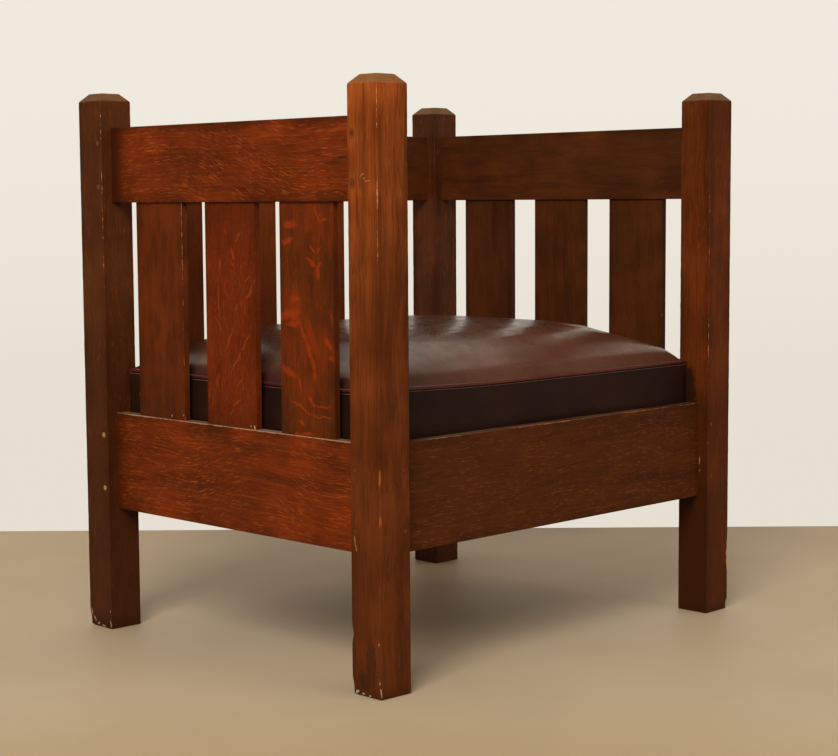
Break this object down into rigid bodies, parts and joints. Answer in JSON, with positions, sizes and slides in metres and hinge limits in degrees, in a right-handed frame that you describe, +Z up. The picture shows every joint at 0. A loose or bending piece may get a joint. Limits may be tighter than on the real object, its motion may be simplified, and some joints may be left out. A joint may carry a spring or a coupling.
{
  "type": "cube chair",
  "caption": "Cube armchair in dark quartersawn oak: square posts, flat rails level on the arms and back, wide slats, and a loose boxed leather cushion on a webbed drop-in seat.",
  "frame": {"origin": "on the floor, under the middle of the chair", "axes": "+Z up, +X to the right of the chair seen from its front, +Y to its back"},
  "size_m": [0.7186, 0.6076, 0.762],
  "materials": {
    "oak_posts": "satin, worn at the edges",
    "oak_rails": "satin, quartersawn fleck",
    "oak_slats": "satin, quartersawn fleck",
    "oak_pegs": "end grain, worn",
    "inner_wood": "bare, aged",
    "steel": "dull",
    "blued_steel": "blued",
    "webbing": "woven jute",
    "foam": "open-cell foam, hidden",
    "cushion_leather": "smooth satin, dark oxblood"
  },
  "bodies": {
    "chair_frame": {"post_front_left": "oak_posts", "post_front_right": "oak_posts", "post_back_left": "oak_posts", "post_back_right": "oak_posts", "seat_rail_left": "oak_rails", "seat_rail_right": "oak_rails", "seat_rail_back": "oak_rails", "seat_rail_front": "oak_rails", "top_rail_left": "oak_rails", "top_rail_right": "oak_rails", "top_rail_back": "oak_rails", "slat_left_1": "oak_slats", "slat_left_2": "oak_slats", "slat_left_3": "oak_slats", "slat_right_1": "oak_slats", "slat_right_2": "oak_slats", "slat_right_3": "oak_slats", "slat_back_1": "oak_slats", "slat_back_2": "oak_slats", "slat_back_3": "oak_slats", "slat_back_4": "oak_slats", "side_rail_pegs": "oak_pegs", "cross_rail_pegs": "oak_pegs", "cleat_left": "inner_wood", "cleat_right": "inner_wood", "cleat_back": "inner_wood", "cleat_front": "inner_wood", "cleat_screws": "steel"},
    "drop_in_seat": {"seat_frame_left": "inner_wood", "seat_frame_right": "inner_wood", "seat_frame_back": "inner_wood", "seat_frame_front": "inner_wood", "webbing_lengthwise": "webbing", "webbing_crosswise": "webbing", "webbing_tacks": "blued_steel"},
    "loose_cushion": {"cushion_cover": "cushion_leather", "cushion_core": "foam"}
  },
  "joints": [
    {"name": "seat_lift", "type": "slide", "parent": "chair_frame", "child": "drop_in_seat", "axis": [0, 0, 1], "range_m": [0, 0.51]},
    {"name": "cushion_lift", "type": "slide", "parent": "drop_in_seat", "child": "loose_cushion", "axis": [0, 0, 1], "range_m": [0, 0.49]}
  ]
}
